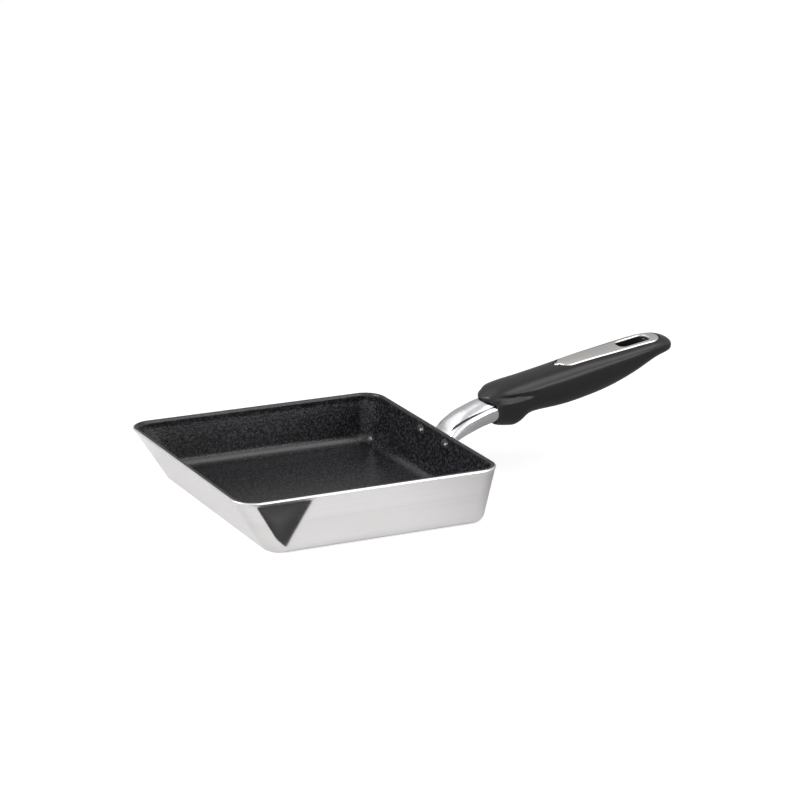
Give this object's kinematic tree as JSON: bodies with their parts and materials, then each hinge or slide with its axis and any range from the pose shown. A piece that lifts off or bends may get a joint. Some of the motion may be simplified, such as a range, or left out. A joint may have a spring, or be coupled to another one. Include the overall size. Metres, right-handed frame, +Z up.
{
  "type": "rectangular omelette pan",
  "caption": "Shallow rectangular omelette pan with a leaning pouring wall, a non-stick lining and a long riveted handle with a hanging slot.",
  "frame": {"origin": "middle of the pan's flat underside, on the surface that it stands on", "axes": "+X from the pan towards the handle, +Y across the pan, +Z up"},
  "size_m": [0.3604, 0.1742, 0.0813],
  "materials": {
    "satin_steel": "satin, brushed along the walls",
    "aluminium_core": "plain",
    "nonstick_coat": "black, finely speckled, semi-gloss",
    "black_rivet": "gloss black",
    "polished_steel": "polished",
    "plain_steel": "plain",
    "black_phenolic": "black moulding, satin",
    "inlay_steel": "satin, brushed, with a polished edge"
  },
  "bodies": {
    "root": {"pan_outer_skin": "satin_steel", "pan_core": "aluminium_core", "nonstick_coating": "nonstick_coat", "rivet_left": "black_rivet", "rivet_right": "black_rivet", "neck": "polished_steel", "tang": "plain_steel", "tang_nut": "plain_steel", "handle_screw": "plain_steel", "screw_lock_washer": "plain_steel", "grip": "black_phenolic", "grip_inlay": "inlay_steel"}
  },
  "joints": []
}
